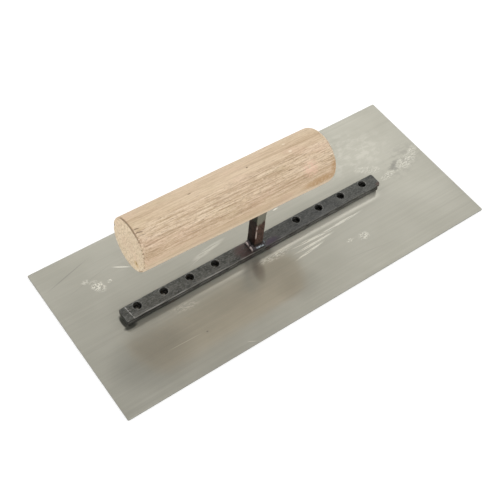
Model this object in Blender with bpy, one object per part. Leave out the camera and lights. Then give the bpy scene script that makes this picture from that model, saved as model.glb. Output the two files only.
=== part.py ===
"""Steel finishing trowel: blade, riveted channel, welded post and turned wooden handle.

Metres, +Z up. The origin is the centre of the blade's underside, +X runs along the blade
towards the end that the handle's thick end points to, and +Y runs across it.
"""
import math

import bmesh
import bpy
from mathutils import Vector

MM = 0.001

# --- Driving dimensions ------------------------------------------------------------------
GAP = 0.3 * MM                    # clearance between pieces that touch on the real tool

BLADE_LENGTH = 279.4 * MM         # 11 inches
BLADE_WIDTH = 114.3 * MM          # 4 1/2 inches
BLADE_THICKNESS = 0.8 * MM
BLADE_CORNER = 0.8 * MM           # radius of the blade's corners in plan

CHANNEL_CENTRE = (-9.3 * MM, -1.3 * MM)
CHANNEL_LENGTH = 198.2 * MM
CHANNEL_WIDTH = 10.4 * MM
CHANNEL_TOP = 7.4 * MM            # height of its upper face above the blade's underside
CHANNEL_WALL = 1.6 * MM
CHANNEL_SEAM = 0.7 * MM           # slit between the front lip and the top strip
CHANNEL_BEND = 1.3 * MM           # outer radius of the folds
CHANNEL_CORNER = 2.4 * MM         # plan radius of the top strip's corners at its right end
CHANNEL_CLIP = 1.0 * MM           # plan radius at its left end
OVERHANG_LEFT = 0.7 * MM          # how far the top strip runs past the lower fold
OVERHANG_RIGHT = 1.8 * MM

HOLES_PER_SIDE = 4
HOLE_PITCH = 18.75 * MM
HOLE_MIDDLE = -9.5 * MM           # X midway between the two rows of holes
HOLE_FIRST = 31.9 * MM            # from there to the nearest access hole
HOLE_Y = 0.1 * MM
ACCESS_RADIUS = 2.6 * MM

RIVET_SHANK = 1.5 * MM
RIVET_TAIL = 2.2 * MM             # radius of the countersunk tail at the sole
RIVET_HEAD = 2.3 * MM
RIVET_HEAD_HEIGHT = 1.2 * MM
SOLE_RECESS = 0.02 * MM           # the ground tails stop just short of the sole's plane

POST_CENTRE = (-11.4 * MM, -0.4 * MM)  # at its foot
POST_SECTION = (6.5 * MM, 8.0 * MM)
POST_LEAN = -0.03                 # run along X for each unit of height
POST_EDGE = 0.5 * MM
TANG_TOP = 74.0 * MM              # height of the post's blind end inside the handle

BEAD_LEFT = 2.5 * MM              # leg of the weld on each side of the post
BEAD_FRONT = 1.5 * MM
BEAD_RIGHT = 2.6 * MM
BEAD_HEIGHT = 2.5 * MM

HANDLE_LEFT = (-102.3 * MM, 71.0 * MM)   # X and height of its axis at each end
HANDLE_RIGHT = (29.8 * MM, 66.3 * MM)
HANDLE_Y = 0.4 * MM
HANDLE_RADIUS_LEFT = 16.2 * MM
HANDLE_RADIUS_RIGHT = 17.4 * MM
HANDLE_ROUND_LEFT = 0.6 * MM
HANDLE_ROUND_RIGHT = 3.2 * MM

ROUND_SEGMENTS = 24               # facets of the small holes and rivets
HANDLE_SEGMENTS = 80
ARC_STEPS = 5

# --- Derived places ----------------------------------------------------------------------
CHANNEL_FOOT = BLADE_THICKNESS + GAP
FLOOR_TOP = CHANNEL_FOOT + CHANNEL_WALL
ROOF_UNDERSIDE = CHANNEL_TOP - CHANNEL_WALL
LIP_TOP = ROOF_UNDERSIDE - CHANNEL_SEAM
POST_FOOT = CHANNEL_TOP + GAP
HOLE_XS = sorted(
    HOLE_MIDDLE + side * (HOLE_FIRST + index * HOLE_PITCH)
    for side in (-1, 1)
    for index in range(HOLES_PER_SIDE)
)


# --- Helpers -----------------------------------------------------------------------------
def clear_scene():
    for existing in list(bpy.data.objects):
        bpy.data.objects.remove(existing, do_unlink=True)


def material(name, colour, roughness, metallic):
    """A Principled BSDF with one colour, roughness and metallic value."""
    made = bpy.data.materials.new(name)
    made.use_nodes = True
    shader = made.node_tree.nodes["Principled BSDF"]
    shader.inputs["Base Color"].default_value = (*colour, 1.0)
    shader.inputs["Roughness"].default_value = roughness
    shader.inputs["Metallic"].default_value = metallic
    made.diffuse_color = (*colour, 1.0)
    return made


def add_object(name, mesh_data, finish=None):
    """Link a new object that holds the bmesh, with outward faces."""
    bmesh.ops.recalc_face_normals(mesh_data, faces=mesh_data.faces)
    mesh = bpy.data.meshes.new(name)
    mesh_data.to_mesh(mesh)
    mesh_data.free()
    made = bpy.data.objects.new(name, mesh)
    bpy.context.collection.objects.link(made)
    if finish is not None:
        mesh.materials.append(finish)
    return made


def smooth(target, degrees=35):
    target.data.shade_smooth()
    target.data.set_sharp_from_angle(angle=math.radians(degrees))


def arc(centre, radius, start, stop, steps=ARC_STEPS):
    """Points on an arc between two angles in degrees."""
    angles = [math.radians(start + (stop - start) * step / steps) for step in range(steps + 1)]
    return [(centre[0] + radius * math.cos(a), centre[1] + radius * math.sin(a)) for a in angles]


def prism(name, outline, place, direction, finish=None):
    """A closed prism: outline points put in space by place(), swept along direction."""
    mesh_data = bmesh.new()
    face = mesh_data.faces.new([mesh_data.verts.new(place(u, v)) for u, v in outline])
    swept = bmesh.ops.extrude_face_region(mesh_data, geom=[face])
    moved = [item for item in swept["geom"] if isinstance(item, bmesh.types.BMVert)]
    bmesh.ops.translate(mesh_data, verts=moved, vec=direction)
    return add_object(name, mesh_data, finish)


def rounded_rectangle(centre, size, radii):
    """Plan outline, anticlockwise, with one corner radius for each end in X."""
    left, right = radii
    half_x = size[0] / 2
    half_y = size[1] / 2
    corners = (
        (half_x, -half_y, right, -90),
        (half_x, half_y, right, 0),
        (-half_x, half_y, left, 90),
        (-half_x, -half_y, left, 180),
    )
    outline = []
    for x, y, radius, start in corners:
        inner_x = centre[0] + x - math.copysign(radius, x)
        inner_y = centre[1] + y - math.copysign(radius, y)
        outline += arc((inner_x, inner_y), radius, start, start + 90)
    return outline


def turned(name, profile, segments, place, finish=None):
    """Lathe a (distance along the axis, radius) profile whose two ends lie on the axis."""
    mesh_data = bmesh.new()
    rings = []
    for along, radius in profile[1:-1]:
        turns = [2 * math.pi * step / segments for step in range(segments)]
        rings.append([mesh_data.verts.new(place(along, radius, turn)) for turn in turns])
    first = mesh_data.verts.new(place(profile[0][0], 0.0, 0.0))
    last = mesh_data.verts.new(place(profile[-1][0], 0.0, 0.0))
    for step in range(segments):
        after = (step + 1) % segments
        for lower, upper in zip(rings, rings[1:]):
            mesh_data.faces.new((lower[step], lower[after], upper[after], upper[step]))
        mesh_data.faces.new((first, rings[0][after], rings[0][step]))
        mesh_data.faces.new((last, rings[-1][step], rings[-1][after]))
    return add_object(name, mesh_data, finish)


def upright(centre_x, centre_y):
    """A place function for turned(), with its axis along +Z."""
    def place(along, radius, turn):
        return (centre_x + radius * math.cos(turn), centre_y + radius * math.sin(turn), along)
    return place


def hole_cutter(name, x, bottom, bottom_radius, top, top_radius):
    profile = [(bottom, 0.0), (bottom, bottom_radius), (top, top_radius), (top, 0.0)]
    return turned(name, profile, ROUND_SEGMENTS, upright(x, HOLE_Y))


def carve(target, cutter, operation="DIFFERENCE"):
    """Combine target with a cutter that stays in the scene as a hidden guide."""
    cutter.hide_render = True
    cutter.display_type = "WIRE"
    modifier = target.modifiers.new(cutter.name, "BOOLEAN")
    modifier.operation = operation
    modifier.solver = "EXACT"
    modifier.object = cutter


# --- Sub-parts ---------------------------------------------------------------------------
def make_blade():
    """Flat spring-steel plate with a countersunk hole for each rivet's tail."""
    finish = material("blade_steel", (0.50, 0.49, 0.44), 0.32, 1.0)
    outline = rounded_rectangle((0.0, 0.0), (BLADE_LENGTH, BLADE_WIDTH), (BLADE_CORNER,) * 2)
    blade = prism("blade", outline, lambda u, v: (u, v, 0.0), (0, 0, BLADE_THICKNESS), finish)
    flare = (RIVET_TAIL - RIVET_SHANK) / BLADE_THICKNESS
    for number, x in enumerate(HOLE_XS, start=1):
        low = -0.5 * MM
        high = BLADE_THICKNESS + 0.5 * MM
        wide = RIVET_TAIL + GAP - low * flare
        narrow = RIVET_SHANK + GAP - 0.5 * MM * flare
        carve(blade, hole_cutter(f"blade_hole_cutter_{number}", x, low, wide, high, narrow))
    return blade


def channel_profile():
    """Section across the folded strip, from the top strip's cut edge round to the front lip."""
    front = CHANNEL_CENTRE[1] - CHANNEL_WIDTH / 2
    back = CHANNEL_CENTRE[1] + CHANNEL_WIDTH / 2
    outer = CHANNEL_BEND
    inner = 0.3 * MM
    wall = CHANNEL_WALL
    outline = [(front, ROOF_UNDERSIDE), (front, CHANNEL_TOP)]
    outline += arc((back - outer, CHANNEL_TOP - outer), outer, 90, 0)
    outline += arc((back - outer, CHANNEL_FOOT + outer), outer, 0, -90)
    outline += arc((front + outer, CHANNEL_FOOT + outer), outer, -90, -180)
    outline += [(front, LIP_TOP), (front + wall, LIP_TOP)]
    outline += arc((front + wall + inner, FLOOR_TOP + inner), inner, 180, 270, 2)
    outline += arc((back - wall - inner, FLOOR_TOP + inner), inner, 270, 360, 2)
    outline += arc((back - wall - inner, ROOF_UNDERSIDE - inner), inner, 0, 90, 2)
    return outline


def make_channel():
    """Steel strip folded round into a hollow bar, drilled for its rivets from both sides."""
    finish = material("blackened_steel", (0.09, 0.09, 0.085), 0.5, 1.0)
    start = CHANNEL_CENTRE[0] - CHANNEL_LENGTH / 2
    stop = start + CHANNEL_LENGTH
    channel = prism(
        "mounting_channel", channel_profile(), lambda u, v: (start, u, v),
        (CHANNEL_LENGTH, 0, 0), finish,
    )
    plan = rounded_rectangle(
        CHANNEL_CENTRE, (CHANNEL_LENGTH, CHANNEL_WIDTH + 2 * MM),
        (CHANNEL_CLIP + MM, CHANNEL_CORNER + MM),
    )
    guide = prism("channel_plan_guide", plan, lambda u, v: (u, v, 0.0), (0, 0, 10 * MM))
    carve(channel, guide, "INTERSECT")
    reach = 4 * MM
    for name, low_x, high_x in (
        ("channel_undercut_left", start - reach, start + OVERHANG_LEFT),
        ("channel_undercut_right", stop - OVERHANG_RIGHT, stop + reach),
    ):
        plan_box = rounded_rectangle(
            ((low_x + high_x) / 2, CHANNEL_CENTRE[1]), (high_x - low_x, 20 * MM), (0.1 * MM,) * 2,
        )
        height = ROOF_UNDERSIDE - 0.05 * MM
        carve(channel, prism(name, plan_box, lambda u, v: (u, v, 0.0), (0, 0, height)))
    for number, x in enumerate(HOLE_XS, start=1):
        shank = RIVET_SHANK + GAP
        lower = hole_cutter(f"floor_hole_cutter_{number}", x, 0.5 * MM, shank, 3.4 * MM, shank)
        carve(channel, lower)
        upper = hole_cutter(
            f"access_hole_cutter_{number}", x, 4.8 * MM, ACCESS_RADIUS, 9 * MM, ACCESS_RADIUS,
        )
        carve(channel, upper)
    return channel


def make_rivets():
    """Domed heads on the channel's floor, shanks through the blade, tails ground flush."""
    finish = material("rivet_steel", (0.30, 0.29, 0.27), 0.42, 1.0)
    seat = FLOOR_TOP + GAP
    dome_steps = 4
    profile = [(SOLE_RECESS, 0.0), (SOLE_RECESS, RIVET_TAIL), (BLADE_THICKNESS, RIVET_SHANK)]
    profile += [(seat, RIVET_SHANK), (seat, RIVET_HEAD)]
    for step in range(1, dome_steps):
        turn = math.pi / 2 * step / dome_steps
        profile.append((seat + RIVET_HEAD_HEIGHT * math.sin(turn), RIVET_HEAD * math.cos(turn)))
    profile.append((seat + RIVET_HEAD_HEIGHT, 0.0))
    rivets = []
    for number, x in enumerate(HOLE_XS, start=1):
        rivet = turned(f"rivet_{number}", profile, ROUND_SEGMENTS, upright(x, HOLE_Y), finish)
        smooth(rivet)
        rivets.append(rivet)
    return rivets


def leaning_bar(name, outline, low, high, finish=None):
    """Prism between two heights that leans as the post does; the outline is at its foot."""
    shift = (low - POST_FOOT) * POST_LEAN
    rise = high - low
    return prism(
        name, outline, lambda u, v: (u + shift, v, low), (rise * POST_LEAN, 0, rise), finish,
    )


def make_post():
    """Square-edged bar that stands on the channel and ends blind inside the handle."""
    finish = material("rusted_steel", (0.10, 0.06, 0.05), 0.6, 0.8)
    outline = rounded_rectangle(POST_CENTRE, POST_SECTION, (POST_EDGE,) * 2)
    return leaning_bar("post", outline, POST_FOOT, TANG_TOP, finish)


def bead_path():
    """Stations round three sides of the post: (root x, root y), heading in degrees, leg."""
    left = POST_CENTRE[0] - POST_SECTION[0] / 2 - GAP
    right = POST_CENTRE[0] + POST_SECTION[0] / 2 + GAP
    front = POST_CENTRE[1] - POST_SECTION[1] / 2 - GAP
    back = CHANNEL_CENTRE[1] + CHANNEL_WIDTH / 2 - CHANNEL_BEND
    turn = POST_EDGE + GAP
    side_steps = 4
    shares = [step / side_steps for step in range(side_steps + 1)]
    stations = [((left, back + (front + turn - back) * t), 180.0, BEAD_LEFT) for t in shares]
    for centre_x, start, leg, next_leg in (
        (left + turn, 180.0, BEAD_LEFT, BEAD_FRONT),
        (right - turn, 270.0, BEAD_FRONT, BEAD_RIGHT),
    ):
        corner = arc((centre_x, front + turn), turn, start, start + 90.0)
        for step in range(1, ARC_STEPS):
            share = step / ARC_STEPS
            stations.append((corner[step], start + 90.0 * share, leg + (next_leg - leg) * share))
        if start < 270.0:
            span = right - left - 2 * turn
            stations += [((left + turn + span * t, front), 270.0, BEAD_FRONT) for t in shares]
    stations += [((right, front + turn + (back - front - turn) * t), 360.0, BEAD_RIGHT) for t in shares]
    return stations


def make_weld_bead():
    """Fillet of weld metal that runs round three sides of the post's foot."""
    finish = material("weld_metal", (0.20, 0.19, 0.19), 0.4, 1.0)
    mesh_data = bmesh.new()
    crest_steps = 5
    rings = []
    for number, ((x, y), heading, leg) in enumerate(bead_path()):
        ripple = 1.0 - 0.12 * (number % 2)
        outward = Vector((math.cos(math.radians(heading)), math.sin(math.radians(heading)), 0))
        root = Vector((x, y, POST_FOOT))
        ring = [mesh_data.verts.new(root)]
        for step in range(crest_steps + 1):
            turn = math.pi / 2 * step / crest_steps
            reach = leg * ripple * math.cos(turn)
            rise = BEAD_HEIGHT * ripple * math.sin(turn)
            ring.append(mesh_data.verts.new(root + outward * reach + Vector((0, 0, rise))))
        rings.append(ring)
    count = len(rings[0])
    for current, following in zip(rings, rings[1:]):
        for step in range(count):
            after = (step + 1) % count
            corners = (current[step], current[after], following[after], following[step])
            mesh_data.faces.new(corners)
    mesh_data.faces.new(rings[0])
    mesh_data.faces.new(rings[-1])
    bead = add_object("weld_bead", mesh_data, finish)
    smooth(bead, 50)
    return bead


def make_handle():
    """Turned hardwood grip, slightly thicker to the right, with a blind mortise for the tang."""
    finish = material("raw_hardwood", (0.62, 0.44, 0.28), 0.6, 0.0)
    left = Vector((HANDLE_LEFT[0], HANDLE_Y, HANDLE_LEFT[1]))
    right = Vector((HANDLE_RIGHT[0], HANDLE_Y, HANDLE_RIGHT[1]))
    length = (right - left).length
    axis = (right - left).normalized()
    across = Vector((0, -1, 0))
    upward = across.cross(axis).normalized()
    small = HANDLE_ROUND_LEFT
    large = HANDLE_ROUND_RIGHT
    quarter = [math.pi / 2 * step / ARC_STEPS for step in range(ARC_STEPS + 1)]
    profile = [(0.0, 0.0)]
    profile += [
        (small - small * math.cos(turn), HANDLE_RADIUS_LEFT - small + small * math.sin(turn))
        for turn in quarter
    ]
    profile += [
        (length - large + large * math.sin(turn), HANDLE_RADIUS_RIGHT - large + large * math.cos(turn))
        for turn in quarter
    ]
    profile.append((length, 0.0))

    def place(along, radius, turn):
        spoke = upward * math.cos(turn) + across * math.sin(turn)
        return left + axis * along + spoke * radius

    handle = turned("handle", profile, HANDLE_SEGMENTS, place, finish)
    size = (POST_SECTION[0] + 2 * GAP, POST_SECTION[1] + 2 * GAP)
    mortise = rounded_rectangle(POST_CENTRE, size, (POST_EDGE + GAP,) * 2)
    carve(handle, leaning_bar("mortise_cutter", mortise, 40 * MM, TANG_TOP + GAP))
    smooth(handle)
    return handle


def main():
    clear_scene()
    make_blade()
    make_channel()
    make_rivets()
    make_post()
    make_weld_bead()
    make_handle()


main()
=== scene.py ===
import math

import bmesh
import bpy
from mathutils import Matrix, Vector, noise


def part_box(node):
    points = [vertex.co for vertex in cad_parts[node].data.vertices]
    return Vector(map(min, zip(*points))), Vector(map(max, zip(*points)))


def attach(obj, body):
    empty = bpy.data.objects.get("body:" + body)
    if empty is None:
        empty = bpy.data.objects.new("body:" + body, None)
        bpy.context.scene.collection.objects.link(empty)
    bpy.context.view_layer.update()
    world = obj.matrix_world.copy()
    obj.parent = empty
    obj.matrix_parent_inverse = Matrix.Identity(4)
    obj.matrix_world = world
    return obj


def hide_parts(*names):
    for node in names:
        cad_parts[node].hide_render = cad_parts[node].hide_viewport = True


# Looks of a steel finishing trowel: brushed blade, folded black channel with riveted floor,
# welded post and raw hardwood handle. Meshes are in metres in the row frame: +X towards the
# handle's thick end, +Y across the blade, +Z up. Materials read the same frame in millimetres.
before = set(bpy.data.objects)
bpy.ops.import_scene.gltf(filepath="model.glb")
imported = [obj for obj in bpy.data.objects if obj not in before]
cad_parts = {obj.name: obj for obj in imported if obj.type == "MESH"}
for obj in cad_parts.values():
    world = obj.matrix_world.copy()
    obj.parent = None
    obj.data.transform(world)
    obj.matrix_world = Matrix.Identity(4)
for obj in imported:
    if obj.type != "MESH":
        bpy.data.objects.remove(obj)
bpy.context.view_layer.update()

MM = 0.001

# --- Places read from the frame ---
BLADE_LOW, BLADE_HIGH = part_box("blade")
CHANNEL_LOW, CHANNEL_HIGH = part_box("mounting_channel")
POST_LOW, POST_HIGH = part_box("post")
BEAD_LOW, BEAD_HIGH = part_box("weld_bead")
HANDLE_LOW, HANDLE_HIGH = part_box("handle")
RIVET_BOXES = [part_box(f"rivet_{number}") for number in range(1, 9)]
HOLES = [((low.x + high.x) / 2, (low.y + high.y) / 2) for low, high in RIVET_BOXES]

# --- Finishing dimensions ---
FIT = 0.02 * MM                   # clearance between closely fitted pieces

BLADE_CORNER = 0.8 * MM
BLADE_EDGE = 0.10 * MM            # rounding along the blade's ground edges

CHANNEL_WALL = 1.6 * MM
CHANNEL_SEAM = 0.7 * MM           # slit between the front lip and the top strip
CHANNEL_BEND = 1.3 * MM
CHANNEL_INNER_BEND = 0.3 * MM
PLAN_MARGIN = 1.0 * MM            # the end-rounding circles start this far outside the sides
PLAN_ROUND_LEFT = 2.0 * MM
PLAN_ROUND_RIGHT = 3.4 * MM
SETBACK_LEFT = 0.7 * MM           # the lower fold stops this far short of the top strip
SETBACK_RIGHT = 1.8 * MM
SHEAR_DROOP = 0.6 * MM            # how far the sheared left end of the top strip bends down
SHEAR_BACK = 3.8 * MM             # its length along the back edge, then along the front edge
SHEAR_FRONT = 4.8 * MM
ACCESS_RADIUS = 2.6 * MM
ACCESS_CHAMFER = 0.25 * MM

SHANK_RADIUS = 1.5 * MM
TAIL_RADIUS = 2.2 * MM
HEAD_RADIUS = 2.3 * MM
HEAD_HEIGHT = 1.2 * MM

POST_EDGE = 0.5 * MM
POST_LEAN = -0.03                 # run along X for each unit of height

HANDLE_TILT = math.radians(-2.038)  # slope of its axis towards +X
HANDLE_RADIUS_LEFT = 16.2 * MM
HANDLE_RADIUS_RIGHT = (HANDLE_HIGH.y - HANDLE_LOW.y) / 2
HANDLE_ROUND_LEFT = 0.6 * MM
HANDLE_ROUND_RIGHT = 3.2 * MM
END_BEVEL = 1.8 * MM              # widest part of the uneven bevel round the left end
END_BEVEL_AT = 50.0               # where it is widest, in degrees from the top to the front
END_BEVEL_SPREAD = 0.9            # below 1, the bevel reaches further round the end
PIT_PLACE = (-7.6, -8.2)          # pit in the left face, millimetres sideways and up from its middle
GASHES = ((10.0, 4.0), (17.5, 5.0), (25.0, 6.0))   # degrees from the top, length in millimetres
GIRTH_RADIUS = 17.0               # millimetres, for unrolling the grip's surface

# --- The handle's own frame: along its axis, sideways to +Y, and up ---
AXIS = Vector((math.cos(HANDLE_TILT), 0.0, math.sin(HANDLE_TILT)))
AXIS_UP = Vector((-math.sin(HANDLE_TILT), 0.0, math.cos(HANDLE_TILT)))
AXIS_SIDE = Vector((0.0, 1.0, 0.0))
AXIS_START = Vector((
    HANDLE_LOW.x - (HANDLE_RADIUS_LEFT - HANDLE_ROUND_LEFT) * AXIS.z,
    (HANDLE_LOW.y + HANDLE_HIGH.y) / 2,
    HANDLE_HIGH.z - (HANDLE_RADIUS_LEFT - HANDLE_ROUND_LEFT) * AXIS.x - HANDLE_ROUND_LEFT,
))
AXIS_REACH = HANDLE_HIGH.x - HANDLE_ROUND_RIGHT - AXIS_START.x
AXIS_REACH += (HANDLE_RADIUS_RIGHT - HANDLE_ROUND_RIGHT) * AXIS.z
AXIS_LENGTH = AXIS_REACH / AXIS.x + HANDLE_ROUND_RIGHT

# --- The post's foot, before its lean ---
POST_FOOT = CHANNEL_HIGH.z + FIT
FOOT_LEFT = POST_LOW.x - POST_LEAN * (POST_HIGH.z - POST_LOW.z)
FOOT_RIGHT = POST_HIGH.x


# --- Mesh helpers ---
def add_piece(name, mesh_data, material, sharp_degrees=35):
    """A new object from a bmesh, smooth but for edges sharper than sharp_degrees."""
    bmesh.ops.recalc_face_normals(mesh_data, faces=mesh_data.faces)
    mesh = bpy.data.meshes.new(name)
    mesh_data.to_mesh(mesh)
    mesh_data.free()
    mesh.shade_smooth()
    mesh.set_sharp_from_angle(angle=math.radians(sharp_degrees))
    piece = bpy.data.objects.new(name, mesh)
    bpy.context.scene.collection.objects.link(piece)
    if material is not None:
        mesh.materials.append(material)
    return piece


def arc(centre, radius, start, stop, steps):
    """Points on an arc between two angles in degrees."""
    turns = [math.radians(start + (stop - start) * step / steps) for step in range(steps + 1)]
    return [(centre[0] + radius * math.cos(t), centre[1] + radius * math.sin(t)) for t in turns]


def spread(start, stop, count):
    """count evenly spaced numbers from start to stop."""
    return [start + (stop - start) * step / (count - 1) for step in range(count)]


def bell(value, centre, width):
    """1 at centre, falling smoothly to 0 over about two widths."""
    return math.exp(-((value - centre) / width) ** 2)


def skin(mesh_data, rings):
    """Quads between successive closed rings of points, without caps."""
    rows = [[mesh_data.verts.new(point) for point in ring] for ring in rings]
    for lower, upper in zip(rows, rows[1:]):
        for index in range(len(lower)):
            after = (index + 1) % len(lower)
            mesh_data.faces.new((lower[index], lower[after], upper[after], upper[index]))
    return rows


def capped_skin(mesh_data, rings):
    """A closed shape: quads between the rings and one face across each end."""
    rows = skin(mesh_data, rings)
    mesh_data.faces.new(rows[0])
    mesh_data.faces.new(rows[-1])


def rounded_rectangle(low, high, radius, steps=4):
    """Plan outline of a rectangle with rounded corners, anticlockwise."""
    outline = arc((high[0] - radius, low[1] + radius), radius, -90, 0, steps)
    outline += arc((high[0] - radius, high[1] - radius), radius, 0, 90, steps)
    outline += arc((low[0] + radius, high[1] - radius), radius, 90, 180, steps)
    outline += arc((low[0] + radius, low[1] + radius), radius, 180, 270, steps)
    return outline


def subdivided(outline, longest):
    """The closed outline with its long straight runs split into equal parts."""
    fine = []
    for index, (u, v) in enumerate(outline):
        after = outline[(index + 1) % len(outline)]
        parts = max(1, round(math.hypot(after[0] - u, after[1] - v) / longest))
        for part in range(parts):
            share = part / parts
            fine.append((u + (after[0] - u) * share, v + (after[1] - v) * share))
    return fine


def offset_inward(outline, distance):
    """The anticlockwise outline moved inwards along its corner normals."""
    moved = []
    count = len(outline)
    for index, (u, v) in enumerate(outline):
        before = Vector(outline[index - 1])
        after = Vector(outline[(index + 1) % count])
        along = (after - before).normalized()
        moved.append((u - along.y * distance, v + along.x * distance))
    return moved


def roughen(mesh_data, height, wavelength, seed, stretch=(1.0, 1.0, 1.0)):
    """Move every vertex along its normal by smooth noise of that height and wavelength."""
    mesh_data.normal_update()
    origin = Vector((17.3, 5.1, 29.7)) * seed
    moves = []
    for vertex in mesh_data.verts:
        sample = Vector(c / (wavelength * s) for c, s in zip(vertex.co, stretch)) + origin
        moves.append(vertex.normal * (height * noise.noise(sample)))
    for vertex, move in zip(mesh_data.verts, moves):
        vertex.co += move


def lathe(mesh_data, centre, profile, segments):
    """A closed turned shape about a vertical axis; the profile's two ends lie on the axis."""
    rings = []
    for height, radius in profile[1:-1]:
        turns = [2 * math.pi * step / segments for step in range(segments)]
        rings.append([
            (centre[0] + radius * math.cos(t), centre[1] + radius * math.sin(t), height)
            for t in turns
        ])
    rows = skin(mesh_data, rings)
    for row, (height, _) in ((rows[0], profile[0]), (rows[-1], profile[-1])):
        tip = mesh_data.verts.new((centre[0], centre[1], height))
        for index in range(segments):
            mesh_data.faces.new((row[index], row[(index + 1) % segments], tip))


def subtract(piece, cutter_mesh):
    """Cut a bmesh of closed cutters out of a piece for good."""
    cutter = add_piece(piece.name + "_cutter", cutter_mesh, None)
    modifier = piece.modifiers.new("cut", "BOOLEAN")
    modifier.operation = "DIFFERENCE"
    modifier.solver = "EXACT"
    modifier.object = cutter
    evaluated = piece.evaluated_get(bpy.context.evaluated_depsgraph_get())
    mesh = bpy.data.meshes.new_from_object(evaluated)
    piece.modifiers.clear()
    mesh.name = piece.name
    piece.data = mesh
    bpy.data.objects.remove(cutter)
    mesh.set_sharp_from_angle(angle=math.radians(35))


# --- Material helpers ---
class Look:
    """One material under construction. Its sockets read millimetres in the row frame."""

    def __init__(self, name):
        self.material = bpy.data.materials.new(name)
        self.material.use_nodes = True
        self.nodes = self.material.node_tree.nodes
        self.links = self.material.node_tree.links
        self.shader = self.nodes["Principled BSDF"]
        metres = self.node("ShaderNodeTexCoord", output="Object")
        self.place = self.vector("MULTIPLY", metres, (1000.0, 1000.0, 1000.0))
        self.x, self.y, self.z = self.split(self.place)

    def feed(self, socket, value):
        """Link a socket, or set a value; a colour is written as red, green and blue."""
        if isinstance(value, bpy.types.NodeSocket):
            self.links.new(value, socket)
        else:
            socket.default_value = (*value, 1.0) if socket.type == "RGBA" else value

    def node(self, kind, inputs=(), output=0, **settings):
        made = self.nodes.new(kind)
        for name, setting in settings.items():
            setattr(made, name, setting)
        for name, value in dict(inputs).items():
            self.feed(made.inputs[name], value)
        return made.outputs[output]

    def split(self, place):
        splitter = self.nodes.new("ShaderNodeSeparateXYZ")
        self.feed(splitter.inputs[0], place)
        return tuple(splitter.outputs)

    def vector(self, operation, first, second, output=0):
        inputs = {0: first, 1: second}
        return self.node("ShaderNodeVectorMath", inputs, output, operation=operation)

    def math(self, operation, first, second=0.0):
        return self.node("ShaderNodeMath", {0: first, 1: second}, operation=operation)

    def add(self, first, second):
        return self.math("ADD", first, second)

    def less(self, first, second):
        return self.math("SUBTRACT", first, second)

    def product(self, *factors):
        total = factors[0]
        for factor in factors[1:]:
            total = self.math("MULTIPLY", total, factor)
        return total

    def length(self, first, second):
        return self.math("SQRT", self.add(self.product(first, first), self.product(second, second)))

    def most(self, *values):
        total = values[0]
        for value in values[1:]:
            total = self.math("MAXIMUM", total, value)
        return total

    def use_axes(self, start, along, side, up):
        """Read places from a start point along three other directions from here on."""
        away = self.vector("SUBTRACT", self.place, tuple(c / MM for c in start))
        turned = self.nodes.new("ShaderNodeCombineXYZ")
        for index, direction in enumerate((along, side, up)):
            share = self.vector("DOT_PRODUCT", away, tuple(direction), output="Value")
            self.feed(turned.inputs[index], share)
        self.place = turned.outputs[0]
        self.x, self.y, self.z = self.split(self.place)

    def noise(self, size, stretch=1.0, detail=2.0, rough=0.5, twist=0.0, seed=0.0):
        """Noise from 0 to 1, its features about size millimetres, stretched along X or per axis."""
        per_axis = stretch if isinstance(stretch, tuple) else (stretch, 1.0, 1.0)
        scale = tuple(1.0 / (size * s) for s in per_axis)
        at = self.vector("MULTIPLY", self.place, scale)
        at = self.vector("ADD", at, (seed * 7.31, seed * 3.17, seed * 5.77))
        inputs = {"Vector": at, "Scale": 1.0, "Detail": detail, "Roughness": rough}
        inputs["Distortion"] = twist
        return self.node("ShaderNodeTexNoise", inputs)

    def step(self, value, start, stop):
        """0 where value is at start, 1 where it is at stop, smooth between."""
        inputs = {"Value": value, "From Min": start, "From Max": stop}
        return self.node("ShaderNodeMapRange", inputs, interpolation_type="SMOOTHSTEP")

    def span(self, value, start, stop, low, high):
        """value from start..stop moved to low..high in a straight line, clamped."""
        inputs = {"Value": value, "From Min": start, "From Max": stop}
        inputs.update({"To Min": low, "To Max": high})
        return self.node("ShaderNodeMapRange", inputs)

    def ramp(self, value, start, stop):
        """0 where value is at start, 1 where it is at stop, straight between."""
        return self.span(value, start, stop, 0.0, 1.0)

    def band(self, value, centre, half, soft):
        """1 where value is within half of centre, fading to 0 over soft."""
        away = self.math("ABSOLUTE", self.less(value, centre))
        return self.step(away, half + soft, half)

    def spot(self, centre, size, degrees=0.0, share=1.0, soft=1.0, on=None):
        """share inside an ellipse on the XY plane, or on two other sockets, 0 outside its rim."""
        u, v = on or (self.x, self.y)
        turn = math.radians(degrees)
        east = self.less(u, centre[0])
        north = self.less(v, centre[1])
        along = self.add(self.product(east, math.cos(turn)), self.product(north, math.sin(turn)))
        over = self.less(self.product(north, math.cos(turn)), self.product(east, math.sin(turn)))
        along = self.product(along, 1.0 / size[0])
        over = self.product(over, 1.0 / size[1])
        squared = self.add(self.product(along, along), self.product(over, over))
        return self.product(self.step(squared, 1.0, 1.0 - soft), share)

    def spots(self, *marks):
        """Several spots as one mask."""
        return self.most(*[self.spot(*mark) for mark in marks])

    def line(self, start, stop, width, share=1.0, on=None):
        """A thin tapering mark from start to stop."""
        centre = ((start[0] + stop[0]) / 2, (start[1] + stop[1]) / 2)
        east, north = stop[0] - start[0], stop[1] - start[1]
        size = (math.hypot(east, north) / 2, width / 2)
        return self.spot(centre, size, math.degrees(math.atan2(north, east)), share, on=on)

    def mix(self, factor, first, second, blend="MIX"):
        inputs = {0: factor, 6: first, 7: second}
        return self.node("ShaderNodeMix", inputs, 2, data_type="RGBA", blend_type=blend)

    def layers(self, colour, *coats):
        """The colour under coats laid on in turn, each a tone and the masks that it shows through."""
        for tone, *masks in coats:
            colour = self.mix(self.product(*masks), colour, tone)
        return colour

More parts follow.
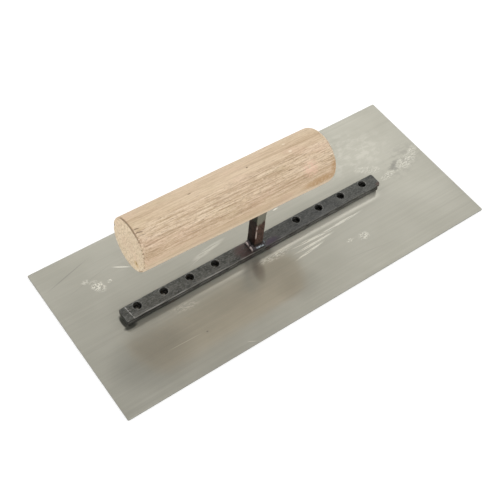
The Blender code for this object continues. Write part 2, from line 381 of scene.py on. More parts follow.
    def bump(self, height, distance):
        """Normals for a height socket; distance is in millimetres."""
        inputs = {"Height": height, "Distance": distance * MM, "Strength": 1.0}
        return self.node("ShaderNodeBump", inputs)

    def finish(self, **inputs):
        """Feed the shader's inputs, written with _ for spaces."""
        for name, value in inputs.items():
            self.feed(self.shader.inputs[name.replace("_", " ")], value)
        return self.material

    def blend(self, share, **inputs):
        """Mix a second sheen into the finished shader; inputs as for finish."""
        second = self.nodes.new("ShaderNodeBsdfPrincipled")
        for name, value in inputs.items():
            self.feed(second.inputs[name.replace("_", " ")], value)
        both = {0: share, 1: self.shader.outputs[0], 2: second.outputs[0]}
        surface = self.nodes["Material Output"].inputs["Surface"]
        self.feed(surface, self.node("ShaderNodeMixShader", both))
        return self.material


# --- Materials ---
def dried_smears(look):
    """Where pale plaster has dried on the blade, and one short pale dash under the handle, as a mask; places
    are on its upper face.
    """
    spiky = look.step(look.noise(1.5, detail=3.0, rough=0.7, seed=21.0), 0.44, 0.58)
    streaky = look.step(look.noise(0.9, 16.0, 3.0, 0.6, seed=22.0), 0.34, 0.54)
    dusty = look.step(look.noise(0.8, 3.0, 3.0, 0.7, seed=23.0), 0.43, 0.60)
    splash = look.spots(
        ((-108.0, 28.0), (4.5, 6.5), 30.0), ((-100.0, 27.5), (2.5, 1.4), 20.0),
        ((-113.0, 34.5), (3.5, 2.0), 0.0, 0.5), ((56.0, -30.5), (5.0, 3.8), 0.0, 0.7),
        ((46.0, -28.5), (3.5, 1.6), 0.0, 0.7),
    )
    wipes = look.spots(
        ((25.0, -14.4), (20.0, 1.3), -3.0), ((25.0, -17.7), (20.0, 1.2), 1.0),
        ((19.0, -21.0), (15.0, 1.1), 6.0), ((50.0, -14.0), (22.0, 1.2), 1.0),
        ((-36.0, 14.5), (16.0, 2.4), 9.0, 0.55),
    )
    powder = look.spots(
        ((-3.0, -12.0), (16.0, 3.6)), ((124.0, 3.5), (15.0, 6.0), 12.0), ((133.0, 7.5), (9.0, 4.2), 35.0),
        ((104.0, 0.0), (9.0, 3.0), 10.0), ((-72.0, -12.5), (12.0, 4.0), -8.0, 0.55),
        ((95.0, 11.0), (12.0, 4.5), -25.0, 0.6),
    )
    solid = look.most(
        # The first line is a short pale dash under the handle, right of the post.
        look.line((17.0, 17.6), (22.5, 18.0), 1.5), look.line((-94.5, 36.0), (-83.0, 29.0), 1.5),
        look.line((-100.0, -32.5), (-71.5, -33.5), 0.6, 0.3),
        look.line((-55.0, 9.5), (-20.0, 17.5), 0.7, 0.5), look.line((-55.5, -52.5), (-49.0, -56.0), 0.8, 0.4),
    )
    return look.most(
        look.product(splash, spiky), look.product(wipes, streaky),
        look.product(powder, dusty, 0.6), look.product(solid, 0.9),
    )


def scratches(look):
    """Thin dark scores across the brushing, and one small pit, as a mask."""
    return look.most(
        look.line((-138.0, 39.5), (-101.0, 49.5), 0.9, 0.6), look.line((60.0, 22.0), (86.0, 41.0), 0.6, 0.3),
        look.line((-131.0, 30.0), (-88.0, 39.0), 0.6, 0.3), look.spot((-70.5, -34.2), (0.9, 0.6)),
        look.line((30.0, -38.0), (74.0, -45.0), 0.6, 0.25),
    )


def blade_wear_and_painted_light(look, colour, mottle):
    """Stains, scores, painted reflection shading across the blade, the post's painted shadow and reflection
    below the weld, a painted light band in front of the channel, and dark patches at the channel's left end.
    """
    stain = look.spot((120.0, 6.0), (24.0, 15.0), 20.0)
    stain_heart = look.spot((114.5, 4.0), (8.5, 4.4), 10.0)
    colour = look.layers(
        colour,
        ((0.26, 0.25, 0.22), stain, look.step(mottle, 0.46, 0.58), 0.42),
        ((0.16, 0.155, 0.14), stain_heart, look.step(mottle, 0.38, 0.6), 0.5),
        ((0.17, 0.165, 0.15), scratches(look), 0.8),
    )
    # Painted reflection shading: darker towards the left end, brightness sloping across the blade (darker to
    # the back on the left, lighter to the back on the right), and two painted dark patches deepening the
    # handle's reflection in front of the grip.
    left = look.span(look.x, BLADE_LOW.x / MM, 0.0, 1.0, 0.0)
    right = look.step(look.x, 60.0, 110.0)
    slope = look.less(look.product(right, 0.13), look.product(left, 0.04))
    tone = look.less(1.0, look.product(left, 0.10))
    tone = look.add(tone, look.product(slope, look.y, MM / BLADE_HIGH.y))
    painted_reflection_spots = look.spots(((-106.0, -31.0), (33.0, 24.0), 0.0, 0.22), ((-3.0, -38.0), (18.0, 13.0), 0.0, 0.12))
    colour = look.mix(1.0, colour, look.less(tone, painted_reflection_spots), "MULTIPLY")
    front = CHANNEL_LOW.y / MM
    # Painted light: a pale band on the blade just in front of the channel, fading to the left and left off
    # below the post, lifting the channel's dark reflection and contact shade.
    painted_light_band = look.product(
        look.step(look.y, front - 6.0, front - 2.6), look.step(look.y, front + 4.0, front + 1.0),
        look.span(look.x, -90.0, 10.0, 0.0, 1.0), look.step(look.x, 91.0, 78.0),
        look.less(1.0, look.product(look.band(look.x, -13.0, 8.0, 6.0), 0.9)),
    )
    # Near-black patches on the blade at the channel's left end.
    dark_end_patches = look.most(
        look.spot((-106.5, -6.8), (5.5, 2.0), soft=0.8), look.spot((-108.6, -2.0), (1.7, 5.6), soft=0.7),
    )
    haze = look.spot((92.0, 30.0), (44.0, 24.0), -10.0)
    return look.layers(
        colour,
        # Painted shade: a dark streak slanting forward below the weld, the post's reflection and shadow on
        # the blade.
        ((0.13, 0.105, 0.085), look.spot((-18.0, -14.5), (12.0, 5.0), 65.0), 0.55),
        ((0.86, 0.83, 0.74), haze, look.step(mottle, 0.45, 0.62), 0.16),
        # painted light band in front of the channel
        ((0.93, 0.90, 0.78), painted_light_band, 0.85),
        ((0.030, 0.034, 0.026), dark_end_patches, 0.85),
    )


def blade_steel():
    """Cold-rolled steel, brushed along X, with marks of use, painted reflections, shade and light, and dried
    smears on its upper face.
    """
    look = Look("blade_steel")
    cloud = look.noise(34.0, detail=3.0, seed=1.0)
    brushed = look.noise(0.35, 90.0, 3.0, 0.6, seed=2.0)
    streak = look.noise(1.8, 45.0, 3.0, 0.6, seed=3.0)
    mottle = look.noise(3.4, 1.6, 4.0, 0.65, seed=15.0)
    plain = look.layers(
        look.mix(look.ramp(cloud, 0.35, 0.65), (0.415, 0.404, 0.341), (0.455, 0.443, 0.378)),
        ((0.58, 0.56, 0.48), look.step(streak, 0.5, 0.72), 0.17),
        ((0.29, 0.28, 0.235), look.step(streak, 0.5, 0.28), 0.17),
        ((0.30, 0.29, 0.25), look.step(brushed, 0.45, 0.75), 0.15),
    )
    smear = dried_smears(look)
    # The upper face's marks of use, with painted reflection shading, a painted post shadow and a painted
    # light band, under the dried smears.
    worn = look.layers(blade_wear_and_painted_light(look, plain, mottle), ((0.86, 0.83, 0.72), smear, 0.8))
    upright = look.split(look.node("ShaderNodeNewGeometry", output="Normal"))[2]
    upper = look.step(upright, 0.0, 0.5)
    smear = look.product(smear, upper)
    edge = look.step(look.math("ABSOLUTE", upright), 0.7, 0.3)
    colour = look.mix(edge, look.mix(upper, plain, worn), (0.13, 0.125, 0.105))
    rough = look.add(look.span(brushed, 0.3, 0.7, 0.150, 0.175), look.product(smear, 0.2))
    height = look.add(look.product(brushed, 0.6), look.product(streak, 0.4))
    normal = look.bump(look.add(height, look.product(smear, 2.0)), 0.004)
    look.finish(
        Base_Color=colour, Metallic=look.span(smear, 0.0, 1.0, 1.0, 0.45), Roughness=rough,
        Anisotropic=0.7, Tangent=(0.0, 1.0, 0.0), Normal=normal,
    )
    chalky = look.mix(0.05, colour, (0.90, 0.87, 0.75))
    return look.blend(
        0.5, Base_Color=chalky, Metallic=0.0, Roughness=0.6, Specular_IOR_Level=0.2, Normal=normal,
    )


def black_steel():
    """Hot-rolled strip with its mill scale, worn bright along the front edge and at the crease, where a
    highlight is also painted; painted shade on its front face and a painted highlight with wear along the
    lip.
    """
    look = Look("blackened_steel")
    front, top = CHANNEL_LOW.y / MM, CHANNEL_HIGH.z / MM
    blotch = look.noise(4.0, 2.2, 3.0, 0.6, seed=4.0)
    grit = look.noise(0.9, 2.0, 4.0, 0.7, seed=5.0)
    scrape = look.noise(0.5, 26.0, 2.0, 0.6, seed=16.0)
    nearness = look.step(look.y, front + 4.2, front + 0.2)
    heated = look.step(blotch, 0.25, 0.55)
    patchy = look.step(look.noise(9.0, seed=17.0), 0.60, 0.72)
    rust = look.most(
        look.spot((88.5, -6.0), (3.2, 2.4), share=0.6), look.product(patchy, look.step(look.z, 6.0, 4.5)),
    )
    face = look.product(look.step(look.y, front + 0.7, front + 0.3), look.step(look.z, top - 0.4, top - 0.9))
    lip_wear_and_highlight = look.product(face, look.band(look.z, top - 2.5, 0.25, 0.4), look.step(blotch, 0.40, 0.60))
    colour = look.layers(
        look.mix(look.ramp(blotch, 0.3, 0.7), (0.058, 0.059, 0.053), (0.125, 0.125, 0.112)),
        ((0.21, 0.21, 0.195), look.step(grit, 0.48, 0.64), 0.60),
        ((0.022, 0.022, 0.021), look.step(grit, 0.47, 0.30), 0.55),
        ((0.27, 0.265, 0.26), look.step(scrape, 0.52, 0.66), nearness, 0.55),
        ((0.105, 0.066, 0.062), look.spot((-21.0, -2.0), (8.0, 8.0)), heated, 0.8),
        ((0.085, 0.062, 0.092), look.spot((-1.0, -5.5), (7.5, 4.0)), heated, 0.8),
        ((0.125, 0.060, 0.040), rust, 0.7),
        ((0.040, 0.040, 0.046), look.band(look.x, 27.0, 22.0, 14.0), 0.28),
        # Painted shade: the front face, turned away from the light, is darkened.
        ((0.020, 0.020, 0.019), face, 0.45),
        # Pale line along the front lip's top edge: worn metal and a painted highlight.
        ((0.36, 0.355, 0.34), lip_wear_and_highlight, 0.40),
        ((0.47, 0.46, 0.44), bare_edges(look, grit)),
    )
    height = look.add(look.product(grit, 0.8), look.product(scrape, 0.3))
    return look.finish(
        Base_Color=colour, Metallic=0.85, Roughness=look.span(grit, 0.3, 0.7, 0.34, 0.56),
        Normal=look.bump(height, 0.07),
    )


def bare_edges(look, grit):
    """Where the scale has gone: the front edge, the crease at the left end, which is also a painted
    highlight, and the holes' rims.
    """
    front, top = CHANNEL_LOW.y / MM, CHANNEL_HIGH.z / MM
    post_middle = (POST_LOW.x + POST_HIGH.x) / 2 / MM + 2.0
    off_post = look.step(look.math("ABSOLUTE", look.less(look.x, post_middle)), 5.0, 9.0)
    patchy = look.noise(1.4, 9.0, 2.0, 0.6, seed=18.0)
    wear = look.product(
        look.step(look.y, front + 0.75, front + 0.25), look.step(look.z, top - 0.9, top - 0.3),
        look.step(look.x, -104.5, -103.0), off_post, look.span(look.x, -60.0, 0.0, 0.9, 0.12),
        look.span(patchy, 0.36, 0.6, 0.15, 1.0),
    )
    slanted = look.add(look.x, look.product(look.y, 0.11))
    # Worn metal and a painted highlight along the crease of the sheared left end.
    crease_wear_and_highlight = look.product(
        look.band(slanted, -104.25, 0.12, 0.30), look.step(look.z, top - 1.0, top - 0.4),
        look.step(grit, 0.40, 0.55), 0.8,
    )
    return look.most(wear, crease_wear_and_highlight, look.product(rim_mask(look), look.step(grit, 0.35, 0.6), 0.28))


def rim_mask(look):
    """1 on a thin ring round each access hole, found by folding X over the even hole pitch."""
    pitch = (HOLES[-1][0] - HOLES[-2][0]) / MM
    nearest = HOLES[4][0] / MM
    middle = (HOLES[3][0] + HOLES[4][0]) / 2 / MM
    away = look.math("ABSOLUTE", look.less(look.x, middle))
    steps = look.product(look.less(away, nearest - middle), 1.0 / pitch)
    folded = look.product(look.less(steps, look.math("ROUND", steps)), pitch)
    distance = look.length(folded, look.less(look.y, HOLES[0][1] / MM))
    ring = look.band(distance, ACCESS_RADIUS / MM + 0.25, 0.25, 0.25)
    return look.product(ring, look.step(away, 24.0, 26.0))


def rivet_steel():
    """Plain grey steel of the hammered rivets."""
    look = Look("rivet_steel")
    grit = look.noise(0.4, detail=3.0, seed=6.0)
    colour = look.mix(grit, (0.16, 0.155, 0.14), (0.34, 0.33, 0.30))
    return look.finish(Base_Color=colour, Metallic=1.0, Roughness=0.45, Normal=look.bump(grit, 0.02))


def rusted_steel():
    """Bar stock with purple-brown rust below and bare olive-grey steel under the handle; its sides are
    painted much darker than its front as shade.
    """
    look = Look("rusted_steel")
    front, foot = POST_LOW.y / MM, POST_FOOT / MM
    blotch = look.noise(3.0, (1.0, 1.0, 2.5), 3.0, 0.6, seed=7.0)
    grit = look.noise(0.5, (1.0, 1.0, 2.0), 4.0, 0.7, seed=8.0)
    facing = look.step(look.y, front + 0.9, front + 0.3)
    # Painted shade: the sides take much darker copies of the rust and bare steel than the front face.
    shaded_side_rust = look.mix(look.ramp(blotch, 0.3, 0.7), (0.009, 0.004, 0.004), (0.034, 0.012, 0.009))
    front_rust = look.mix(look.step(grit, 0.38, 0.62), (0.026, 0.012, 0.010), (0.150, 0.082, 0.060))
    shaded_side_grey = look.mix(grit, (0.018, 0.021, 0.015), (0.050, 0.055, 0.040))
    front_grey = look.mix(grit, (0.17, 0.165, 0.125), (0.31, 0.30, 0.245))
    rust = look.mix(facing, shaded_side_rust, front_rust)
    bare = look.mix(facing, shaded_side_grey, front_grey)
    ragged = look.add(look.z, look.product(look.less(blotch, 0.5), 14.0))
    colour = look.mix(look.step(ragged, 31.5, 34.5), rust, bare)
    leaned = look.less(look.x, look.product(look.less(look.z, foot), POST_LEAN))
    corner = look.band(leaned, FOOT_LEFT / MM + 0.30, 0.15, 0.35)
    streak = look.product(corner, facing, look.band(look.z, 24.5, 4.5, 3.0), look.step(blotch, 0.38, 0.52))
    # Darker towards the foot, from 14.5 mm down to 10.5 mm.
    dark_foot = look.step(look.z, 14.5, 10.5)
    colour = look.layers(colour, ((0.72, 0.60, 0.56), streak, 0.85), ((0.014, 0.017, 0.014), dark_foot, 0.75))
    return look.finish(
        Base_Color=colour, Metallic=0.55, Roughness=look.span(grit, 0.3, 0.7, 0.42, 0.62),
        Specular_IOR_Level=0.25, Normal=look.bump(grit, 0.08),
    )


def weld_metal():
    """Dark bead with painted highlights on its crests: a thin pink-white one at the left and a silver-blue
    one at the front.
    """
    look = Look("weld_metal")
    left, front = BEAD_LOW.x / MM, BEAD_LOW.y / MM
    blotch = look.noise(1.8, detail=3.0, seed=9.0)
    fine = look.noise(0.7, detail=3.0, seed=19.0)
    glint = look.step(fine, 0.40, 0.55)
    dark = look.mix(fine, (0.018, 0.015, 0.016), (0.095, 0.082, 0.085))
    # Painted highlights: a thin pink-white line along the bead's left toe and silver-blue glints along its
    # front and right.
    left_painted_highlight = look.product(
        look.band(look.x, left + 0.75, 0.20, 0.40), look.step(look.y, 2.6, 1.6),
        look.step(look.y, front + 0.2, front + 1.2), look.step(blotch, 0.30, 0.48),
    )
    front_painted_highlight = look.product(
        look.band(look.y, front + 0.75, 0.12, 0.35), glint,
        look.band(look.x, (FOOT_LEFT + FOOT_RIGHT) / 2 / MM + 0.6, 2.6, 0.8),
    )
    right_painted_highlight = look.product(look.band(look.x, FOOT_RIGHT / MM + 1.4, 0.30, 0.35), glint, 0.55)
    colour = look.layers(
        dark, ((0.58, 0.49, 0.46), left_painted_highlight, 0.8),
        ((0.56, 0.64, 0.68), look.most(front_painted_highlight, right_painted_highlight), 0.9),
    )
    return look.finish(Base_Color=colour, Metallic=0.9, Roughness=0.30, Normal=look.bump(fine, 0.10))


def raw_hardwood():
    """Unfinished pale hardwood: grain along its axis, dense pores between smoother bands; painted light on
    its top and underside, painted shade low on its front.
    """
    look = Look("raw_hardwood")
    look.use_axes(AXIS_START, AXIS, AXIS_SIDE, AXIS_UP)
    turn = look.math("ARCTAN2", look.product(look.y, -1.0), look.z)
    on = (look.x, look.product(turn, GIRTH_RADIUS))
    broad = look.noise(6.0, 16.0, twist=0.2, seed=10.0)
    hue = look.noise(9.0, 2.5, seed=24.0)
    lines = look.noise(0.72, 42.0, seed=11.0)
    fibres = look.noise(0.66, 10.0, rough=0.6, seed=13.0)
    flecks = look.noise(0.62, 2.2, rough=0.65, seed=26.0)
    pores = look.noise(0.62, 7.0, rough=0.6, seed=12.0)
    wander = look.less(look.noise(26.0, 4.0, seed=25.0), 0.5)
    ring = look.add(look.product(look.z, 0.53), look.product(look.y, 0.848))
    ring = look.add(ring, look.product(wander, 5.0))
    dense = look.span(look.band(ring, -2.6, 7.0, 3.0), 0.0, 1.0, 0.45, 1.0)
    pore = look.product(look.step(pores, 0.57, 0.70), dense)
    dark_line = look.product(look.step(lines, 0.52, 0.66), dense)
    pale_line = look.product(look.step(lines, 0.49, 0.36), dense)
    boundary = look.product(look.band(ring, 10.8, 0.35, 0.8), look.step(broad, 0.35, 0.6))
    # Painted light: the grip's underside, out of direct view, is lightened so its reflection in the blade is
    # paler.
    painted_light_underside = look.step(look.math("ABSOLUTE", on[1]), 28.0, 31.0)
    far_end = AXIS_LENGTH / MM
    end = look.most(look.step(look.x, 0.55, 0.15), look.step(look.x, far_end - 1.3, far_end - 0.3))
    light, deep = (0.90, 0.73, 0.555), (0.38, 0.240, 0.140)
    colour = look.layers(
        look.mix(look.ramp(broad, 0.3, 0.7), (0.645, 0.484, 0.315), (0.735, 0.575, 0.396)),
        ((0.73, 0.505, 0.368), look.step(hue, 0.52, 0.72), 0.40),
        ((0.645, 0.520, 0.320), look.step(hue, 0.48, 0.28), 0.40),
        (light, pale_line, 0.56),
        (light, look.step(fibres, 0.49, 0.33), dense, 0.42),
        (light, look.step(flecks, 0.49, 0.32), dense, 0.32),
        (deep, dark_line, 0.56),
        (deep, look.step(fibres, 0.51, 0.67), dense, 0.42),
        (deep, look.step(flecks, 0.51, 0.68), dense, 0.32),
        ((0.25, 0.150, 0.085), pore, 0.45),
        ((0.38, 0.245, 0.135), boundary, 0.5),
        # Painted shade: a darker band low on the grip's front.
        ((0.42, 0.27, 0.15), look.band(on[1], 23.0, 5.0, 3.0), 0.26),
        # Painted light: a paler patch along the top of the grip.
        ((0.84, 0.68, 0.51), look.spot((58.0, -1.0), (52.0, 16.0), on=on), 0.22),
        # Painted light on the underside.
        ((0.93, 0.80, 0.62), painted_light_underside, 0.2),
        (end_grain(look, ring, broad, hue), end, 0.92),
    )
    colour = handle_marks(look, colour, on, turn)
    marks = look.add(look.product(pore, 0.6), look.product(dark_line, 0.5))
    height = look.less(look.product(pale_line, 0.4), marks)
    return look.finish(Base_Color=colour, Roughness=0.68, Normal=look.bump(height, 0.14))


def end_grain(look, ring, broad, hue):
    """Colour of the sawn ends: faint rings, rough specks and a warmer drift."""
    specks = look.noise(0.75, (1.0, 1.0, 1.6), 3.0, 0.65, seed=27.0)
    waves = look.add(look.product(ring, 2.1), look.product(look.less(broad, 0.5), 5.0))
    rings = look.ramp(look.math("SINE", waves), -1.0, 1.0)
    return look.layers(
        look.mix(rings, (0.690, 0.545, 0.362), (0.755, 0.610, 0.428)),
        ((0.34, 0.225, 0.120), look.step(specks, 0.50, 0.66), 0.62),
        ((0.90, 0.760, 0.580), look.step(specks, 0.48, 0.34), 0.55),
        ((0.68, 0.48, 0.33), look.step(hue, 0.5, 0.7), 0.35),
    )


def handle_marks(look, colour, on, turn):
    """Handling dirt, a darker rim round the left end, small knots and stains, placed along and round the
    grip.
    """
    dirt = look.noise(1.5, detail=3.0, rough=0.65, seed=14.0)
    broken = look.step(dirt, 0.46, 0.58)
    face = (look.y, look.z)
    edge = look.less(HANDLE_RADIUS_LEFT / MM, look.product(bevel_socket(look, turn), END_BEVEL / MM))
    rim = look.product(
        look.band(look.less(look.length(*face), edge), 0.1, 0.25, 0.4), look.step(look.x, 1.4, 0.2),
    )
    upper = look.product(look.step(turn, -0.80, -0.55), look.step(turn, 0.65, 0.35))
    dark = look.most(
        look.line(grip_place(0.4, 9.0), grip_place(4.0, 11.5), 0.9, on=on),
        look.line(grip_place(0.4, 16.5), grip_place(5.0, 20.5), 1.0, on=on),
        look.line(grip_place(1.0, 24.0), grip_place(6.0, 27.0), 0.7, 0.7, on),
        look.spot(grip_place(77.3, -6.3), (0.8, 0.6), on=on),
        look.spot(grip_place(39.0, -9.0), (1.4, 0.5), share=0.8, on=on),
        look.product(look.line(grip_place(130.6, 6.0), grip_place(130.4, 46.0), 0.7, on=on), broken),
    )
    end = look.step(look.x, 0.9, 0.5)
    pit = look.spot(PIT_PLACE, (1.0, 1.0), soft=0.8, on=face)
    chip = look.spot((15.6, 1.0), (1.2, 1.6), soft=0.9, on=face)
    pink = look.spot(grip_place(113.0, 52.0), (7.0, 6.5), on=on)
    orange = look.most(
        look.spot(grip_place(120.0, 88.0), (17.0, 5.0), on=on),
        look.spot(grip_place(130.5, 70.0), (4.5, 8.0), on=on),
    )
    pale = look.most(
        look.spot(grip_place(106.7, -21.0), (1.4, 0.9), on=on),
        look.spot(grip_place(106.1, 2.9), (1.6, 0.9), on=on),
    )
    return look.layers(
        colour,
        ((0.16, 0.085, 0.040), rim, look.most(upper, look.product(broken, 0.9)), 0.72),
        ((0.14, 0.075, 0.035), dark, 0.85),
        ((0.035, 0.018, 0.010), look.most(pit, chip), end),
        ((0.52, 0.34, 0.10), look.spot(PIT_PLACE, (3.0, 3.0), on=face), end, 0.50),
        ((0.90, 0.585, 0.45), pink, look.step(dirt, 0.36, 0.6), 0.55),
        ((0.43, 0.245, 0.100), orange, look.step(dirt, 0.25, 0.55), 0.80),
        ((0.95, 0.83, 0.66), pale, 0.6),
    )


def grip_place(along, degrees):
    """A place on the grip's unrolled surface: millimetres along it, and round it from the top."""
    return (along, math.radians(degrees) * GIRTH_RADIUS)


def bevel_share(radians):
    """Width of the left end's bevel at an angle from the top to the front, 0 to 1."""
    return max(0.0, math.cos((radians - math.radians(END_BEVEL_AT)) * END_BEVEL_SPREAD))


def bevel_socket(look, turn):
    """The same share as a node socket."""
    shifted = look.product(look.less(turn, math.radians(END_BEVEL_AT)), END_BEVEL_SPREAD)
    return look.math("MAXIMUM", look.math("COSINE", shifted), 0.0)


# --- Pieces ---
def make_blade(material):
    """Flat plate with finely rounded edges and a countersunk hole for each rivet."""
    low, high = BLADE_LOW, BLADE_HIGH
    outline = rounded_rectangle(low, high, BLADE_CORNER)
    rings = []
    for turn in (math.radians(degrees) for degrees in (90, 60, 30, 0)):
        inset = BLADE_EDGE * (1 - math.cos(turn))
        height = low.z + BLADE_EDGE * (1 - math.sin(turn))
        rings.append([(u, v, height) for u, v in offset_inward(outline, inset)])
    for turn in (math.radians(degrees) for degrees in (0, 30, 60, 90)):
        inset = BLADE_EDGE * (1 - math.cos(turn))
        height = high.z - BLADE_EDGE * (1 - math.sin(turn))
        rings.append([(u, v, height) for u, v in offset_inward(outline, inset)])
    mesh_data = bmesh.new()
    capped_skin(mesh_data, rings)
    blade = add_piece("blade_plate", mesh_data, material)
    cutters = bmesh.new()
    for centre in HOLES:
        profile = [
            (low.z - MM, 0.0), (low.z - MM, TAIL_RADIUS + FIT), (low.z, TAIL_RADIUS + FIT),
            (high.z, SHANK_RADIUS + FIT), (high.z + MM, SHANK_RADIUS + FIT), (high.z + MM, 0.0),
        ]
        lathe(cutters, centre, profile, 40)
    subtract(blade, cutters)
    return blade


def channel_section():
    """Closed outline (y, z) of the folded strip, anticlockwise seen from +X, edges rounded."""
    front, back = CHANNEL_LOW.y, CHANNEL_HIGH.y
    foot, top = CHANNEL_LOW.z, CHANNEL_HIGH.z
    wall, bend, inner = CHANNEL_WALL, CHANNEL_BEND, CHANNEL_INNER_BEND
    under = top - wall
    floor = foot + wall
    lip = under - CHANNEL_SEAM
    worn = 0.35 * MM
    crisp = 0.15 * MM
    edge_ys = [front + MM * d for d in (0.6, 1.0, 1.5, 2.1, 2.8)]
    mid_ys = spread(front + 3.6 * MM, back - bend - 0.7 * MM, 5)
    outline = arc((back - bend, top - bend), bend, 0, 90, 6)
    outline += [(y, top) for y in reversed(mid_ys)] + [(y, top) for y in reversed(edge_ys)]
    outline += arc((front + worn, top - worn), worn, 90, 180, 4)
    outline += arc((front + crisp, under + crisp), crisp, 180, 270, 3)
    outline += [(y, under) for y in edge_ys]
    outline += [(y, under) for y in spread(front + 3.6 * MM, back - wall - inner - 0.4 * MM, 5)]
    outline += arc((back - wall - inner, under - inner), inner, 90, 0, 3)
    outline += arc((back - wall - inner, floor + inner), inner, 0, -90, 3)
    outline += [(y, floor) for y in spread(back - wall - 0.8 * MM, front + wall + 0.8 * MM, 7)]
    outline += arc((front + wall + inner, floor + inner), inner, 270, 180, 3)
    outline += arc((front + wall - crisp, lip - crisp), crisp, 0, 90, 3)
    outline += arc((front + crisp, lip - crisp), crisp, 90, 180, 3)
    outline += arc((front + bend, foot + bend), bend, 180, 270, 6)
    outline += [(y, foot) for y in spread(front + bend + 0.5 * MM, back - bend - 0.5 * MM, 6)]
    outline += arc((back - bend, foot + bend), bend, -90, 0, 6)
    return outline


def end_inset(y, z, plan_round, setback):
    """How far one end of the channel is cut back at that height and distance across."""
    middle = (CHANNEL_LOW.y + CHANNEL_HIGH.y) / 2
    half = (CHANNEL_HIGH.y - CHANNEL_LOW.y) / 2 + PLAN_MARGIN
    past = max(0.0, abs(y - middle) - (half - plan_round))
    rounding = plan_round - math.sqrt(max(0.0, plan_round ** 2 - past ** 2))
    under = CHANNEL_HIGH.z - CHANNEL_WALL
    share = min(1.0, max(0.0, (under - 0.05 * MM - z) / (0.4 * MM)))
    return max(rounding, setback * share)


def sheared_height(x, y, z):
    """Height after the left end of the top strip is bent down by the shear that cut it."""
    under = CHANNEL_HIGH.z - CHANNEL_WALL
    if z < under - 0.01 * MM:
        return z
    forward = (CHANNEL_HIGH.y - y) / (CHANNEL_HIGH.y - CHANNEL_LOW.y)
    reach = SHEAR_BACK + (SHEAR_FRONT - SHEAR_BACK) * forward
    past = max(0.0, CHANNEL_LOW.x + reach - x)
    return z - SHEAR_DROOP * past / SHEAR_FRONT


def make_channel(material):
    """Strip folded into a hollow bar, lofted along X with uneven, rounded, sheared ends."""
    outline = channel_section()
    edge = 0.15 * MM
    length = CHANNEL_HIGH.x - CHANNEL_LOW.x
    steps = 260
    turns = [math.radians(degrees) for degrees in (0, 30, 60, 90)]
    start_stations = [(edge * (1 - math.sin(t)), edge * (1 - math.cos(t))) for t in turns]
    inner = [(0.0, edge + (length - 2 * edge) * step / steps) for step in range(1, steps)]
    end_stations = [(inset, length - along) for inset, along in reversed(start_stations)]
    blend = 8 * MM
    rings = []
    for inset, along in start_stations + inner + end_stations:
        ring = []
        for (y, z), (y0, z0) in zip(offset_inward(outline, inset), outline):
            left = end_inset(y0, z0, PLAN_ROUND_LEFT, SETBACK_LEFT)
            right = end_inset(y0, z0, PLAN_ROUND_RIGHT, SETBACK_RIGHT)
            x = CHANNEL_LOW.x + along
            x += left * max(0.0, 1 - along / blend)
            x -= right * max(0.0, 1 - (length - along) / blend)
            ring.append((x, y, sheared_height(x, y, z)))
        rings.append(ring)
    mesh_data = bmesh.new()
    capped_skin(mesh_data, rings)
    roughen(mesh_data, 0.12 * MM, 12 * MM, 1)
    roughen(mesh_data, 0.08 * MM, 2.6 * MM, 2, (2.0, 1.0, 1.0))
    channel = add_piece("channel_strip", mesh_data, material, 40)
    cutters = bmesh.new()
    top = CHANNEL_HIGH.z
    under = top - CHANNEL_WALL
    floor = CHANNEL_LOW.z + CHANNEL_WALL
    shank = SHANK_RADIUS + FIT
    for centre in HOLES:
        profile = [
            (under - 0.5 * MM, 0.0), (under - 0.5 * MM, ACCESS_RADIUS),
            (top - ACCESS_CHAMFER, ACCESS_RADIUS),
            (top + 0.1 * MM, ACCESS_RADIUS + ACCESS_CHAMFER + 0.1 * MM),
            (top + MM, ACCESS_RADIUS + ACCESS_CHAMFER + MM), (top + MM, 0.0),
        ]
        lathe(cutters, centre, profile, 40)
        profile = [(CHANNEL_LOW.z - 0.5 * MM, 0.0), (CHANNEL_LOW.z - 0.5 * MM, shank)]
        profile += [(floor + 0.5 * MM, shank), (floor + 0.5 * MM, 0.0)]
        lathe(cutters, centre, profile, 32)
    subtract(channel, cutters)
    return channel


def make_rivet(number, centre, material):
    """Hammered domed head, shank, and a countersunk tail ground flush with the sole."""
    sole = RIVET_BOXES[number - 1][0].z
    seat = CHANNEL_LOW.z + CHANNEL_WALL + 2 * FIT
    profile = [(sole, 0.0), (sole, TAIL_RADIUS), (BLADE_HIGH.z, SHANK_RADIUS)]
    profile += [(seat, SHANK_RADIUS), (seat, HEAD_RADIUS)]
    for step in range(1, 8):
        turn = math.pi / 2 * step / 8
        profile.append((seat + HEAD_HEIGHT * math.sin(turn), HEAD_RADIUS * math.cos(turn)))
    profile.append((seat + HEAD_HEIGHT, 0.0))
    mesh_data = bmesh.new()
    lathe(mesh_data, centre, profile, 32)
    return add_piece(f"rivet_head_{number}", mesh_data, material)


def leaning_rings(outline, heights):
    """The outline at each height, moved along X as the post leans."""
    rings = []
    for height in heights:
        shift = (height - POST_LOW.z) * POST_LEAN
        rings.append([(u + shift, v, height) for u, v in outline])
    return rings


def make_post(material):
    """Leaning bar with worn corners, standing on the channel, its top blind in the handle."""
    low, high = (FOOT_LEFT, POST_LOW.y), (FOOT_RIGHT, POST_HIGH.y)
    outline = subdivided(rounded_rectangle(low, high, POST_EDGE, 5), 0.8 * MM)
    mesh_data = bmesh.new()
    capped_skin(mesh_data, leaning_rings(outline, spread(POST_FOOT, POST_HIGH.z, 90)))
    roughen(mesh_data, 0.14 * MM, 6 * MM, 3)
    roughen(mesh_data, 0.07 * MM, 1.6 * MM, 4)
    return add_piece("post_bar", mesh_data, material, 50)


